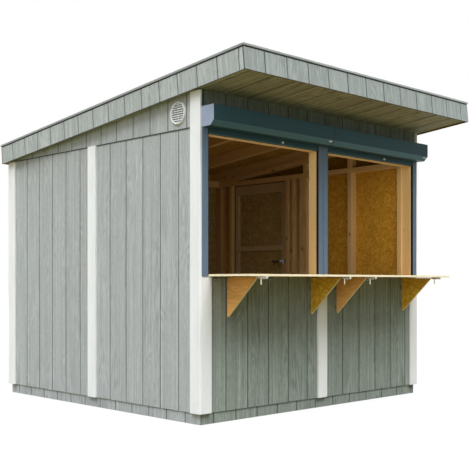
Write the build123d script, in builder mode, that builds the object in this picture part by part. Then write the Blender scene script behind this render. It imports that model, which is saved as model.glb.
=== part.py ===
"""Market hut: timber-framed sales booth with grooved siding, a mono-pitch roof, two serving
hatches with roller shutters, folding counter brackets and a side door.
The front faces -Y, +Z is up, and the origin is on the ground in the middle of the walls."""
import os
from math import cos, floor, sin, tan, radians

from build123d import *

# Driving sizes of the walls, in millimetres
wall_width = 2400.0
wall_depth = 2530.0
wall_base = 75.0
wall_frame_height = 1913.0
panel_thickness = 12.0
panel_joint = 4.0
stud_width = 45.0
stud_depth = 70.0
fit_gap = 1.0
overrun = 5.0

# Grooved siding sheets
groove_pitch = 203.2
groove_width = 9.0
groove_depth = 3.0
side_groove_start = 22.7
gable_groove_start = 141.8
front_groove_start = 26.0
side_plinth_groove_start = 166.8
front_plinth_groove_start = 124.0
side_fascia_groove_start = 51.0
front_fascia_groove_start = 118.0
side_joint_share = 0.491

# Floor
plinth_inset = 8.0
floor_thickness = 18.0

# Roof
roof_pitch = radians(5.57)
front_overhang = 500.0
side_overhang = 60.0
back_overhang = 48.0
soffit_thickness = 12.0
fascia_lip = 12.0
rafter_height = 95.0
rafter_spacing = 585.0
deck_thickness = 18.0
membrane_thickness = 5.0
edge_trim_height = 26.0
edge_trim_width = 40.0
edge_trim_proud = 6.0
gable_tip_height = 10.0

# White corner boards and battens
trim_thickness = 17.0
trim_width = 105.0
batten_width = 100.0

# Vents in the gables
vent_radius = 80.0
vent_rim = 11.0
vent_depth = 14.0
vent_plate = 4.0
vent_inset = 228.0
vent_slat_height = 9.0
vent_slat_depth = 8.0
vent_slat_pitch = 18.0

# Serving hatches and roller shutters
hatch_panel_height = 915.0
mid_post_width = 104.0
rail_width = 53.0
rail_depth = 22.0
rail_slot_width = 11.0
rail_slot_depth = 24.0
box_size = 137.0
box_chamfer = 36.0
box_wall = 2.5
box_lap = 37.0
end_cap_thickness = 3.0
end_slat_height = 35.0
end_slat_thickness = 9.0

# Counter with folding brackets
counter_thickness = 15.0
counter_reach = 400.0
counter_inset = 67.0
counter_split = 2.0
bracket_reach = 286.0
bracket_height = 272.0
bracket_thickness = 12.0
bracket_tip = 10.0
bracket_clearance = 5.0
bracket_wall_gap = 13.0
left_bracket_inset = 160.0
right_bracket_inset = 120.0
bracket_hinge_radius = 5.0
bracket_hinge_segment = 20.0
hinge_leaf = 2.0
knuckle_gap = 0.3
bracket_hinge_edge = 65.0
flap_hinge_length = 44.0
flap_hinge_radius = 5.0
flap_hinge_leaf = 32.0
flap_hinge_shares = (0.065, 0.52, 0.93)
bolt_plate_width = 30.0
bolt_plate_thickness = 2.0
bolt_barrel_radius = 7.0
bolt_rod_radius = 4.5
bolt_rod_reach = 12.0
bolt_knob_drop = 52.0
bolt_knob_radius = 5.0
bolt_tip_gap = 8.0
bolt_knob_share = 0.25

# Side door
door_opening = 775.0
door_place_share = 0.3293
door_gap = 8.0
door_frame_thickness = 34.0
door_frame_inset = 10.0
door_latch_stile = 65.0
door_hinge_stile = 42.0
door_rail = 95.0
door_mid_rail = 50.0
door_lower_rise = 1183.0
door_trim_shares = (0.61, 0.6)
king_stud_gap = 38.0
door_hinge_radius = 8.0
door_hinge_segment = 40.0
door_hinge_leaf = 3.0
door_strap_length = 170.0
door_jamb_leaf = 42.0
door_hinge_shares = (0.12, 0.5, 0.88)
handle_rise = 1071.0
handle_backset = 48.0
handle_rose_radius = 26.0
handle_rose_thickness = 8.0
handle_neck_radius = 9.0
handle_reach = 46.0
lever_length = 115.0
lever_height = 20.0
lever_thickness = 9.0

# Places worked out from the driving sizes
left = -wall_width / 2
right = wall_width / 2
front = -wall_depth / 2
back = wall_depth / 2
wall_top = wall_base + wall_frame_height
frame_set = panel_thickness + stud_depth
plate_base = wall_top - stud_width
floor_edge = plinth_inset + panel_thickness
sill_height = wall_base + hatch_panel_height
counter_top = sill_height + counter_thickness
side_joint = front + wall_depth * side_joint_share
rafter_rise = tan(roof_pitch)
eave_level = wall_top + (soffit_thickness + fit_gap) / cos(roof_pitch)
ridge_level = eave_level + wall_depth * rafter_rise
roof_end = (wall_depth + back_overhang) / cos(roof_pitch)
fascia_base = -soffit_thickness - fascia_lip
deck_base = rafter_height
deck_top = deck_base + deck_thickness
roof_top = deck_top + membrane_thickness
roof_side = wall_width / 2 + side_overhang
roof_inner = roof_side - panel_thickness
roof_plane = Plane(origin=(0, front, ridge_level), x_dir=(1, 0, 0), z_dir=(0, sin(roof_pitch), cos(roof_pitch)))

os.makedirs("parts", exist_ok=True)


def rafter_level(y):
    """Height of the rafters' underside over the place y."""
    return ridge_level - (y - front) * rafter_rise


def soffit_level(y):
    """Height of the soffit's underside over the place y."""
    return rafter_level(y) - soffit_thickness / cos(roof_pitch)


def slab(x_low, x_high, y_low, y_high, z_low, z_high, mode=Mode.ADD):
    """Square-edged board between two corners of the current workplane."""
    with Locations(((x_low + x_high) / 2, (y_low + y_high) / 2, (z_low + z_high) / 2)):
        Box(x_high - x_low, y_high - y_low, z_high - z_low, mode=mode)


def groove_places(start, low, high):
    """Places of the sheet grooves that fall well inside a panel from low to high."""
    first = floor((low - start) / groove_pitch) + 1
    last = floor((high - start) / groove_pitch)
    places = [start + groove_pitch * count for count in range(first, last + 1)]
    return [place for place in places if low + groove_width < place < high - groove_width]


def grooves_across_y(face, places, z_low, z_high):
    """Upright grooves in a panel face that looks along X."""
    with Locations(*[(face, place, (z_low + z_high) / 2) for place in places]):
        Box(groove_depth * 2, groove_width, z_high - z_low + overrun * 2, mode=Mode.SUBTRACT)


def grooves_across_x(face, places, z_low, z_high):
    """Upright grooves in a panel face that looks along Y."""
    with Locations(*[(place, face, (z_low + z_high) / 2) for place in places]):
        Box(groove_width, groove_depth * 2, z_high - z_low + overrun * 2, mode=Mode.SUBTRACT)


def side_profile(points, x_low, x_high):
    """Solid between two places across X with an outline of (y, z) points."""
    with BuildSketch(Plane.YZ.offset(x_low)) as outline:
        with BuildLine():
            Polyline(*points, close=True)
        make_face()
    extrude(outline.sketch, amount=x_high - x_low)


def keep(part, name):
    """Label a finished piece and write its file."""
    part.label = name
    export_step(part, f"parts/{name}.step")


# Floor of bearers, deck and plinth boards
rafter_places = [left + panel_thickness + stud_width / 2, -rafter_spacing, 0, rafter_spacing,
                 right - panel_thickness - stud_width / 2]
bearer_places = [left + floor_edge + stud_width / 2, -rafter_spacing, 0, rafter_spacing,
                 right - floor_edge - stud_width / 2]

with BuildPart() as floor_bearers:
    for place in bearer_places:
        slab(place - stud_width / 2, place + stud_width / 2, front + floor_edge, back - floor_edge,
             0, wall_base - floor_thickness)
keep(floor_bearers.part, "floor_bearers")

with BuildPart() as floor_deck:
    slab(left + floor_edge, right - floor_edge, front + floor_edge, back - floor_edge,
         wall_base - floor_thickness, wall_base)
keep(floor_deck.part, "floor_deck")

with BuildPart() as side_plinths:
    slab(left + plinth_inset, left + floor_edge, front + plinth_inset, back - plinth_inset, 0, wall_base)
    slab(right - floor_edge, right - plinth_inset, front + plinth_inset, back - plinth_inset, 0, wall_base)
    plinth_grooves = groove_places(front + side_plinth_groove_start, front, back)
    grooves_across_y(left + plinth_inset, plinth_grooves, 0, wall_base)
    grooves_across_y(right - plinth_inset, plinth_grooves, 0, wall_base)
keep(side_plinths.part, "side_plinths")

with BuildPart() as end_plinths:
    slab(left + floor_edge, right - floor_edge, front + plinth_inset, front + floor_edge, 0, wall_base)
    slab(left + floor_edge, right - floor_edge, back - floor_edge, back - plinth_inset, 0, wall_base)
    plinth_grooves = groove_places(left + front_plinth_groove_start, left + floor_edge, right - floor_edge)
    grooves_across_x(front + plinth_inset, plinth_grooves, 0, wall_base)
    grooves_across_x(back - plinth_inset, plinth_grooves, 0, wall_base)
keep(end_plinths.part, "end_plinths")

# Stud frames of the walls
door_lead = panel_joint + stud_width * 3 + king_stud_gap
door_tail = stud_width * 2 + frame_set
door_room = back - side_joint - door_lead - door_opening - door_tail
opening_front = side_joint + door_lead + door_room * door_place_share
opening_back = opening_front + door_opening
frame_front = front + frame_set
frame_back = back - frame_set
side_frames = ((left + panel_thickness, left + frame_set), (right - frame_set, right - panel_thickness))
end_frames = ((front + panel_thickness, frame_front), (frame_back, back - panel_thickness))
joint_studs = (side_joint - panel_joint - stud_width, side_joint + panel_joint)
front_bay_stud = (frame_front + side_joint - stud_width) / 2
back_bay_stud = (frame_back + side_joint - stud_width) / 2
end_studs = (frame_front, frame_back - stud_width)
door_studs = (opening_front - king_stud_gap - stud_width * 2, opening_front - stud_width, opening_back)

with BuildPart() as side_wall_studs:
    for place in (*end_studs, front_bay_stud, *joint_studs, back_bay_stud):
        slab(*side_frames[0], place, place + stud_width, wall_base + stud_width, plate_base)
    for place in (*end_studs, front_bay_stud, *joint_studs, *door_studs):
        slab(*side_frames[1], place, place + stud_width, wall_base + stud_width, plate_base)
keep(side_wall_studs.part, "side_wall_studs")

with BuildPart() as side_wall_plates:
    for frame in side_frames:
        slab(*frame, frame_front, frame_back, plate_base, wall_top)
    slab(*side_frames[0], frame_front, frame_back, wall_base, wall_base + stud_width)
    slab(*side_frames[1], frame_front, opening_front, wall_base, wall_base + stud_width)
    slab(*side_frames[1], opening_back, frame_back, wall_base, wall_base + stud_width)
keep(side_wall_plates.part, "side_wall_plates")

frame_left = left + panel_thickness
frame_right = right - panel_thickness
hatch_places = ((frame_left + stud_width, -mid_post_width / 2), (mid_post_width / 2, frame_right - stud_width))

with BuildPart() as front_wall_posts:
    for x_low, x_high in ((frame_left, frame_left + stud_width),
                          (-mid_post_width / 2, mid_post_width / 2),
                          (frame_right - stud_width, frame_right)):
        slab(x_low, x_high, *end_frames[0], wall_base + stud_width, plate_base)
    for x_low, x_high in hatch_places:
        middle = (x_low + x_high) / 2
        slab(middle - stud_width / 2, middle + stud_width / 2, *end_frames[0],
             wall_base + stud_width, sill_height - stud_width)
keep(front_wall_posts.part, "front_wall_posts")

with BuildPart() as front_wall_plates:
    slab(frame_left, frame_right, *end_frames[0], wall_base, wall_base + stud_width)
    slab(frame_left, frame_right, *end_frames[0], plate_base, wall_top)
    for x_low, x_high in hatch_places:
        slab(x_low, x_high, *end_frames[0], sill_height - stud_width, sill_height)
keep(front_wall_plates.part, "front_wall_plates")

with BuildPart() as back_wall_studs:
    for place in rafter_places:
        slab(place - stud_width / 2, place + stud_width / 2, *end_frames[1], wall_base + stud_width, plate_base)
keep(back_wall_studs.part, "back_wall_studs")

with BuildPart() as back_wall_plates:
    slab(frame_left, frame_right, *end_frames[1], wall_base, wall_base + stud_width)
    side_profile(((frame_back, plate_base), (back - panel_thickness, plate_base),
                  (back - panel_thickness, rafter_level(back - panel_thickness)),
                  (frame_back, rafter_level(frame_back))), frame_left, frame_right)
keep(back_wall_plates.part, "back_wall_plates")

# Framing between the wall tops and the sloping roof
header_base = rafter_level(frame_front) - stud_width
chord_drop = stud_width / cos(roof_pitch)
chord_meets_plate = front + (ridge_level - chord_drop - wall_top) / rafter_rise

with BuildPart() as header_plate:
    side_profile(((front + panel_thickness, header_base), (frame_front, header_base),
                  (frame_front, rafter_level(frame_front)),
                  (front + panel_thickness, rafter_level(front + panel_thickness))), frame_left, frame_right)
keep(header_plate.part, "header_plate")

with BuildPart() as gable_chords:
    for x_low, x_high in side_frames:
        side_profile(((frame_front, rafter_level(frame_front) - chord_drop), (chord_meets_plate, wall_top),
                      (frame_back, wall_top), (frame_back, rafter_level(frame_back)),
                      (frame_front, rafter_level(frame_front))), x_low, x_high)
keep(gable_chords.part, "gable_chords")

with BuildPart() as upper_studs:
    for place in rafter_places:
        slab(place - stud_width / 2, place + stud_width / 2, *end_frames[0], wall_top, header_base)
    for x_low, x_high in side_frames:
        for place in (front_bay_stud, joint_studs[0]):
            side_profile(((place, wall_top), (place + stud_width, wall_top),
                          (place + stud_width, rafter_level(place + stud_width) - chord_drop),
                          (place, rafter_level(place) - chord_drop)), x_low, x_high)
keep(upper_studs.part, "upper_studs")

# Siding of the walls
side_grooves = groove_places(front + side_groove_start, front, back)
front_grooves = groove_places(left + front_groove_start, frame_left, frame_right)

with BuildPart() as left_wall_panels:
    slab(left, frame_left, front, side_joint - fit_gap / 2, wall_base, wall_top)
    slab(left, frame_left, side_joint + fit_gap / 2, back, wall_base, wall_top)
    grooves_across_y(left, side_grooves, wall_base, wall_top)
keep(left_wall_panels.part, "left_wall_panels")

with BuildPart() as right_wall_panels:
    slab(frame_right, right, front, side_joint - fit_gap / 2, wall_base, wall_top)
    slab(frame_right, right, side_joint + fit_gap / 2, opening_front, wall_base, wall_top)
    slab(frame_right, right, opening_back, back, wall_base, wall_top)
    slab(frame_right, right, opening_front + fit_gap, opening_back - fit_gap, plate_base, wall_top)
    grooves_across_y(right, side_grooves, wall_base, wall_top)
keep(right_wall_panels.part, "right_wall_panels")

gable_base = wall_top + panel_joint
gable_tip = front + (soffit_level(front) - gable_base - gable_tip_height) / rafter_rise
gable_outline = ((front, gable_base), (gable_tip, gable_base), (gable_tip, soffit_level(gable_tip)),
                 (front, soffit_level(front)))
gable_grooves = groove_places(front + gable_groove_start, front, gable_tip)

with BuildPart() as gable_panels:
    side_profile(gable_outline, left, frame_left)
    side_profile(gable_outline, frame_right, right)
    grooves_across_y(left, gable_grooves, gable_base, soffit_level(front))
    grooves_across_y(right, gable_grooves, gable_base, soffit_level(front))
keep(gable_panels.part, "gable_panels")

with BuildPart() as front_wall_panels:
    slab(frame_left, -fit_gap / 2, front, front + panel_thickness, wall_base, sill_height)
    slab(fit_gap / 2, frame_right, front, front + panel_thickness, wall_base, sill_height)
    grooves_across_x(front, front_grooves, wall_base, sill_height)
keep(front_wall_panels.part, "front_wall_panels")

with BuildPart() as front_post_strips:
    for x_low, x_high in ((frame_left, frame_left + stud_width),
                          (-mid_post_width / 2, mid_post_width / 2),
                          (frame_right - stud_width, frame_right)):
        slab(x_low, x_high, front, front + panel_thickness, sill_height, plate_base)
keep(front_post_strips.part, "front_post_strips")

with BuildPart() as front_header_panel:
    side_profile(((front, plate_base), (front + panel_thickness, plate_base),
                  (front + panel_thickness, soffit_level(front + panel_thickness)),
                  (front, soffit_level(front))), frame_left, frame_right)
    grooves_across_x(front, front_grooves, plate_base, soffit_level(front))
keep(front_header_panel.part, "front_header_panel")

with BuildPart() as back_wall_panels:
    slab(frame_left, -fit_gap / 2, back - panel_thickness, back, wall_base, wall_top)
    slab(fit_gap / 2, frame_right, back - panel_thickness, back, wall_base, wall_top)
    grooves_across_x(back, front_grooves, wall_base, wall_top)
keep(back_wall_panels.part, "back_wall_panels")

# Roof, drawn square to its slope: X across, Y down the slope, Z off the rafters' underside
with BuildPart(roof_plane) as rafters:
    for place in rafter_places:
        slab(place - stud_width / 2, place + stud_width / 2, panel_thickness - front_overhang,
             roof_end - panel_thickness, 0, rafter_height)
keep(rafters.part, "rafters")

with BuildPart(roof_plane) as roof_deck:
    slab(-roof_inner, roof_inner, panel_thickness - front_overhang, roof_end - panel_thickness,
         deck_base, deck_top)
keep(roof_deck.part, "roof_deck")

with BuildPart(roof_plane) as roof_membrane:
    slab(-roof_inner, roof_inner, panel_thickness - front_overhang, roof_end - panel_thickness,
         deck_top, roof_top)
keep(roof_membrane.part, "roof_membrane")

with BuildPart(roof_plane) as side_fascias:
    slab(-roof_side, -roof_inner, panel_thickness - front_overhang, roof_end - panel_thickness,
         fascia_base, roof_top)
    slab(roof_inner, roof_side, panel_thickness - front_overhang, roof_end - panel_thickness,
         fascia_base, roof_top)
    fascia_grooves = groove_places(side_fascia_groove_start - front_overhang,
                                   panel_thickness - front_overhang, roof_end - panel_thickness)
    grooves_across_y(-roof_side, fascia_grooves, fascia_base, roof_top)
    grooves_across_y(roof_side, fascia_grooves, fascia_base, roof_top)
keep(side_fascias.part, "side_fascias")

with BuildPart(roof_plane) as end_fascias:
    slab(-roof_side, roof_side, -front_overhang, panel_thickness - front_overhang, fascia_base, roof_top)
    slab(-roof_side, roof_side, roof_end - panel_thickness, roof_end, fascia_base, roof_top)
    fascia_grooves = groove_places(front_fascia_groove_start + left, -roof_side, roof_side)
    grooves_across_x(-front_overhang, fascia_grooves, fascia_base, roof_top)
    grooves_across_x(roof_end, fascia_grooves, fascia_base, roof_top)
keep(end_fascias.part, "end_fascias")

trim_outer = roof_side + edge_trim_proud
trim_inner = trim_outer - edge_trim_width
trim_front = -front_overhang - edge_trim_proud
trim_back = roof_end + edge_trim_proud
with BuildPart(roof_plane) as roof_edge_trims:
    slab(-trim_outer, -trim_inner, trim_front, trim_back, roof_top, roof_top + edge_trim_height)
    slab(trim_inner, trim_outer, trim_front, trim_back, roof_top, roof_top + edge_trim_height)
    slab(fit_gap - trim_inner, trim_inner - fit_gap, trim_front, trim_front + edge_trim_width,
         roof_top, roof_top + edge_trim_height)
    slab(fit_gap - trim_inner, trim_inner - fit_gap, trim_back - edge_trim_width, trim_back,
         roof_top, roof_top + edge_trim_height)
keep(roof_edge_trims.part, "roof_edge_trims")

soffit_back = (wall_depth - panel_thickness) / cos(roof_pitch) + soffit_thickness * rafter_rise
with BuildPart(roof_plane) as soffits:
    slab(-roof_inner, roof_inner, panel_thickness - front_overhang, panel_thickness, -soffit_thickness, 0)
    slab(-roof_inner, left + panel_thickness, panel_thickness + fit_gap, roof_end - panel_thickness,
         -soffit_thickness, 0)
    slab(right - panel_thickness, roof_inner, panel_thickness + fit_gap, roof_end - panel_thickness,
         -soffit_thickness, 0)
    slab(left + panel_thickness + fit_gap, right - panel_thickness - fit_gap, soffit_back + fit_gap,
         roof_end - panel_thickness, -soffit_thickness, 0)
    with Locations(*[(place, -front_overhang / 2, -soffit_thickness)
                     for place in groove_places(front_groove_start + left, -roof_inner, roof_inner)]):
        Box(groove_width, front_overhang - panel_thickness * 2, groove_depth * 2, mode=Mode.SUBTRACT)
keep(soffits.part, "soffits")

# White corner boards and battens
board_cover = trim_width - trim_thickness
corner_top = soffit_level(front + board_cover) - fit_gap
back_corner_top = soffit_level(back + trim_thickness) - fit_gap
door_axis = (right + door_hinge_radius, opening_back - door_gap / 2)
jamb_trim = door_axis[1] + door_jamb_leaf + fit_gap
latch_trim = (opening_front - trim_width / 2) * door_trim_shares[0]
hinge_trim = (back - board_cover - jamb_trim) * door_trim_shares[1]


def side_boards(x_low, x_high):
    """Corner boards and middle batten of one side wall."""
    slab(x_low, x_high, front - trim_thickness, front + board_cover, wall_base, corner_top)
    slab(x_low, x_high, -trim_width / 2, trim_width / 2, wall_base, wall_top)
    slab(x_low, x_high, back - board_cover, back + trim_thickness, wall_base, back_corner_top)


def end_boards(y_low, y_high, top):
    """Corner boards and middle batten of the front or the back wall."""
    slab(left, left + board_cover, y_low, y_high, wall_base, top)
    slab(-batten_width / 2, batten_width / 2, y_low, y_high, wall_base, top)
    slab(right - board_cover, right, y_low, y_high, wall_base, top)


with BuildPart() as left_trims:
    side_boards(left - trim_thickness, left)
keep(left_trims.part, "left_trims")

with BuildPart() as right_trims:
    side_boards(right, right + trim_thickness)
    slab(right, right + trim_thickness, opening_front - latch_trim, opening_front, wall_base, wall_top)
    slab(right, right + trim_thickness, jamb_trim, jamb_trim + hinge_trim, wall_base, wall_top)
    slab(right, right + trim_thickness, opening_front + fit_gap, jamb_trim - fit_gap, plate_base, wall_top)
keep(right_trims.part, "right_trims")

with BuildPart() as end_trims:
    end_boards(front - trim_thickness, front, sill_height)
    end_boards(back, back + trim_thickness, back_corner_top)
keep(end_trims.part, "end_trims")

# Round louvred vents in the gables
vent_height = (gable_base + soffit_level(front + vent_inset)) / 2
with BuildPart() as gable_vents:
    for plane in (Plane(origin=(left, front + vent_inset, vent_height), x_dir=(0, -1, 0), z_dir=(-1, 0, 0)),
                  Plane(origin=(right, front + vent_inset, vent_height), x_dir=(0, 1, 0), z_dir=(1, 0, 0))):
        with BuildSketch(plane):
            Circle(vent_radius)
        extrude(amount=vent_plate)
        with BuildSketch(plane):
            Circle(vent_radius)
            Circle(vent_radius - vent_rim, mode=Mode.SUBTRACT)
        extrude(amount=vent_depth)
        with BuildSketch(plane):
            with GridLocations(0, vent_slat_pitch, 1, floor((vent_radius - vent_rim) * 2 / vent_slat_pitch)):
                Rectangle(vent_radius * 2, vent_slat_height)
            Circle(vent_radius - vent_rim / 2, mode=Mode.INTERSECT)
        extrude(amount=vent_plate + vent_slat_depth)
keep(gable_vents.part, "gable_vents")

# Roller shutters over the serving hatches
box_base = plate_base + box_lap
box_top = box_base + box_size
box_spans = ((left, -fit_gap / 2), (fit_gap / 2, right))
box_outline = ((front, box_base), (front - box_size + box_chamfer, box_base),
               (front - box_size, box_base + box_chamfer), (front - box_size, box_top), (front, box_top))

with BuildPart() as shutter_boxes:
    for x_low, x_high in box_spans:
        with BuildSketch(Plane.YZ.offset(x_low + end_cap_thickness)):
            with BuildLine():
                Polyline(*box_outline, close=True)
            make_face()
            offset(amount=-box_wall, mode=Mode.SUBTRACT, kind=Kind.INTERSECTION)
        extrude(amount=x_high - x_low - end_cap_thickness * 2)
keep(shutter_boxes.part, "shutter_boxes")

with BuildPart() as shutter_end_caps:
    for x_low, x_high in box_spans:
        side_profile(box_outline, x_low, x_low + end_cap_thickness)
        side_profile(box_outline, x_high - end_cap_thickness, x_high)
keep(shutter_end_caps.part, "shutter_end_caps")

rail_places = ((left, 1), (-fit_gap / 2 - rail_width, -1), (fit_gap / 2, 1), (right - rail_width, -1))
with BuildPart() as guide_rails:
    for x_low, toward in rail_places:
        slab(x_low, x_low + rail_width, front - rail_depth, front, sill_height, box_base)
        slot = x_low + rail_width - rail_slot_depth if toward > 0 else x_low
        slab(slot, slot + rail_slot_depth, front - (rail_depth + rail_slot_width) / 2,
             front - (rail_depth - rail_slot_width) / 2, sill_height, box_base, mode=Mode.SUBTRACT)
keep(guide_rails.part, "guide_rails")

hatch_clear = ((left + rail_width, -fit_gap / 2 - rail_width), (fit_gap / 2 + rail_width, right - rail_width))
with BuildPart() as shutter_end_slats:
    for x_low, x_high in hatch_clear:
        slab(x_low + fit_gap, x_high - fit_gap, front - (rail_depth + end_slat_thickness) / 2,
             front - (rail_depth - end_slat_thickness) / 2, box_base - end_slat_height, box_base)
keep(shutter_end_slats.part, "shutter_end_slats")

# Sill boards and counter flaps
with BuildPart() as sill_boards:
    for (post_low, post_high), (rail_low, rail_high) in zip(hatch_places, hatch_clear):
        slab(max(post_low, rail_low) + fit_gap, min(post_high, rail_high) - fit_gap,
             front - rail_depth, frame_front, sill_height, counter_top)
keep(sill_boards.part, "sill_boards")

flap_back = front - rail_depth - fit_gap
flap_front = front - counter_reach
flap_spans = ((left + counter_inset, -counter_split / 2), (counter_split / 2, right - counter_inset))
with BuildPart() as counter_flaps:
    for x_low, x_high in flap_spans:
        slab(x_low, x_high, flap_front, flap_back, sill_height, counter_top)
keep(counter_flaps.part, "counter_flaps")

# Folding brackets: side +1 folds towards +X, side -1 towards -X, from the outer face of the plate
bracket_top = sill_height - bracket_clearance
bracket_back = front - bracket_wall_gap
hinge_y = front - bracket_wall_gap / 2
brackets = (("left_outer", flap_spans[0][0] + left_bracket_inset, 1),
            ("left_inner", flap_spans[0][1] - right_bracket_inset, -1),
            ("right_inner", flap_spans[1][0] + left_bracket_inset, 1),
            ("right_outer", flap_spans[1][1] - right_bracket_inset, -1))
hinge_heights = (bracket_top - bracket_height + bracket_hinge_edge, bracket_top - bracket_hinge_edge)


def across(start, side, low, high):
    """Places low and high beside start, counted towards the fold side, in rising order."""
    return sorted((start + side * low, start + side * high))


def knuckle(x, y, radius, z_low, z_high):
    """Upright hinge knuckle or pin."""
    with BuildSketch(Plane.XY.offset(z_low)) as section:
        with Locations((x, y)):
            Circle(radius)
    extrude(section.sketch, amount=z_high - z_low)


for name, face, side in brackets:
    with BuildPart() as bracket:
        plate = across(face, side, 0, bracket_thickness)
        side_profile(((bracket_back, bracket_top), (bracket_back, bracket_top - bracket_height),
                      (bracket_back - bracket_tip, bracket_top - bracket_height),
                      (bracket_back - bracket_reach, bracket_top - bracket_tip),
                      (bracket_back - bracket_reach, bracket_top)), *plate)
    keep(bracket.part, f"{name}_bracket")

    with BuildPart() as bracket_leaf:
        hinge_x = face + side * (bracket_thickness + bracket_hinge_radius)
        for height in hinge_heights:
            low = height - bracket_hinge_segment / 2
            high = height + bracket_hinge_segment / 2
            knuckle(hinge_x, hinge_y, bracket_hinge_radius, low, high)
            slab(*across(face, side, 0, bracket_thickness + bracket_hinge_radius),
                 bracket_back, bracket_back + hinge_leaf, low, high)
    keep(bracket_leaf.part, f"{name}_leaf")

# Fixed halves of the bracket hinges, which the moving halves rest on, and the hinges that carry the flaps
with BuildPart() as counter_hinges:
    for name, face, side in brackets:
        hinge_x = face + side * (bracket_thickness + bracket_hinge_radius)
        for height in hinge_heights:
            inner = bracket_hinge_segment / 2 + knuckle_gap
            outer = inner + bracket_hinge_segment
            knuckle(hinge_x, hinge_y, bracket_hinge_radius, height - outer, height - inner)
            slab(*across(face, side, 0, bracket_thickness + bracket_hinge_radius), front - hinge_leaf, front,
                 height - outer, height - inner)

    for outer_end, inner_end in (flap_spans[0], reversed(flap_spans[1])):
        for share in flap_hinge_shares:
            middle = outer_end + (inner_end - outer_end) * share
            with BuildSketch(Plane.YZ.offset(middle - flap_hinge_length / 2)):
                with BuildLine():
                    Polyline((front, sill_height), (front, sill_height - flap_hinge_leaf),
                             (front - hinge_leaf, sill_height - flap_hinge_leaf),
                             (front - hinge_leaf, sill_height - hinge_leaf),
                             (flap_back - flap_hinge_leaf, sill_height - hinge_leaf),
                             (flap_back - flap_hinge_leaf, sill_height), close=True)
                make_face()
                with Locations((flap_back, sill_height - flap_hinge_radius)):
                    Circle(flap_hinge_radius)
            extrude(amount=flap_hinge_length)
keep(counter_hinges.part, "counter_hinges")

# Bolts under the flaps that lock the brackets, drawn back
bolt_end = bracket_back - bracket_reach - bolt_tip_gap
bolt_rod_level = sill_height - bolt_barrel_radius
with BuildPart() as counter_bolts:
    for name, face, side in brackets:
        middle = face + side * bracket_thickness / 2
        plate_end = bolt_end - bolt_rod_reach
        slab(middle - bolt_plate_width / 2, middle + bolt_plate_width / 2, flap_front + fit_gap, plate_end,
             sill_height - bolt_plate_thickness, sill_height)
        with BuildSketch(Plane(origin=(middle, plate_end, bolt_rod_level), x_dir=(1, 0, 0), z_dir=(0, -1, 0))):
            Circle(bolt_barrel_radius)
        extrude(amount=plate_end - flap_front - fit_gap)
        with BuildSketch(Plane(origin=(middle, bolt_end, bolt_rod_level), x_dir=(1, 0, 0), z_dir=(0, -1, 0))):
            Circle(bolt_rod_radius)
        extrude(amount=bolt_rod_reach)
        knob = plate_end + (flap_front - plate_end) * bolt_knob_share
        knuckle(middle, knob, bolt_knob_radius, sill_height - bolt_knob_drop, bolt_rod_level)
keep(counter_bolts.part, "counter_bolts")

# Side door, hung at its back edge and opening outwards
leaf_front = opening_front + door_gap
leaf_back = opening_back - door_gap
leaf_base = wall_base + door_gap
leaf_top = plate_base - door_gap

with BuildPart() as door_leaf:
    slab(frame_right, right, leaf_front, leaf_back, leaf_base, leaf_top)
    grooves_across_y(right, groove_places(front + side_groove_start, leaf_front, leaf_back), leaf_base, leaf_top)
keep(door_leaf.part, "door_leaf")

ledge_front = leaf_front + door_frame_inset
ledge_back = leaf_back - door_frame_inset
ledge_base = leaf_base + door_frame_inset
mid_rail_base = leaf_base + door_lower_rise
with BuildPart() as door_ledges:
    slab(frame_right - door_frame_thickness, frame_right, ledge_front, ledge_back, ledge_base, leaf_top)
    slab(frame_right - door_frame_thickness - overrun, frame_right + overrun, ledge_front + door_latch_stile,
         ledge_back - door_hinge_stile, ledge_base + door_rail, mid_rail_base, mode=Mode.SUBTRACT)
    slab(frame_right - door_frame_thickness - overrun, frame_right + overrun, ledge_front + door_latch_stile,
         ledge_back - door_hinge_stile, mid_rail_base + door_mid_rail, leaf_top - door_rail, mode=Mode.SUBTRACT)
keep(door_ledges.part, "door_ledges")

door_hinge_heights = [leaf_base + (leaf_top - leaf_base) * share for share in door_hinge_shares]
with BuildPart() as door_straps:
    for height in door_hinge_heights:
        low = height - door_hinge_segment / 2
        high = height + door_hinge_segment / 2
        knuckle(*door_axis, door_hinge_radius, low, high)
        slab(right, right + door_hinge_leaf, door_axis[1] - door_strap_length, door_axis[1], low, high)
keep(door_straps.part, "door_straps")

with BuildPart() as door_jamb_hinges:
    for height in door_hinge_heights:
        inner = door_hinge_segment / 2 + knuckle_gap
        outer = inner + door_hinge_segment
        clear = door_axis[1] + door_hinge_radius + fit_gap
        knuckle(*door_axis, door_hinge_radius, height - outer, height - inner)
        knuckle(*door_axis, door_hinge_radius, height + inner, height + outer)
        slab(right, right + door_hinge_leaf, door_axis[1], clear + fit_gap, height - outer, height - inner)
        slab(right, right + door_hinge_leaf, door_axis[1], clear + fit_gap, height + inner, height + outer)
        slab(right, right + door_hinge_leaf, clear, door_axis[1] + door_jamb_leaf, height - outer, height + outer)
keep(door_jamb_hinges.part, "door_jamb_hinges")

handle_y = leaf_front + handle_backset
handle_height = leaf_base + handle_rise
handle_faces = (Plane(origin=(right, handle_y, handle_height), x_dir=(0, 1, 0), z_dir=(1, 0, 0)),
                Plane(origin=(frame_right - door_frame_thickness, handle_y, handle_height),
                      x_dir=(0, 1, 0), z_dir=(-1, 0, 0)))
with BuildPart() as door_handles:
    for plane in handle_faces:
        with BuildSketch(plane):
            Circle(handle_rose_radius)
        extrude(amount=handle_rose_thickness)
        with BuildSketch(plane):
            Circle(handle_neck_radius)
        extrude(amount=handle_reach)
        with BuildSketch(plane.offset(handle_reach - lever_thickness)):
            with Locations((lever_length / 2, 0)):
                RectangleRounded(lever_length + lever_height, lever_height, lever_height / 2 - fit_gap)
        extrude(amount=lever_thickness)
keep(door_handles.part, "door_handles")
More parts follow.
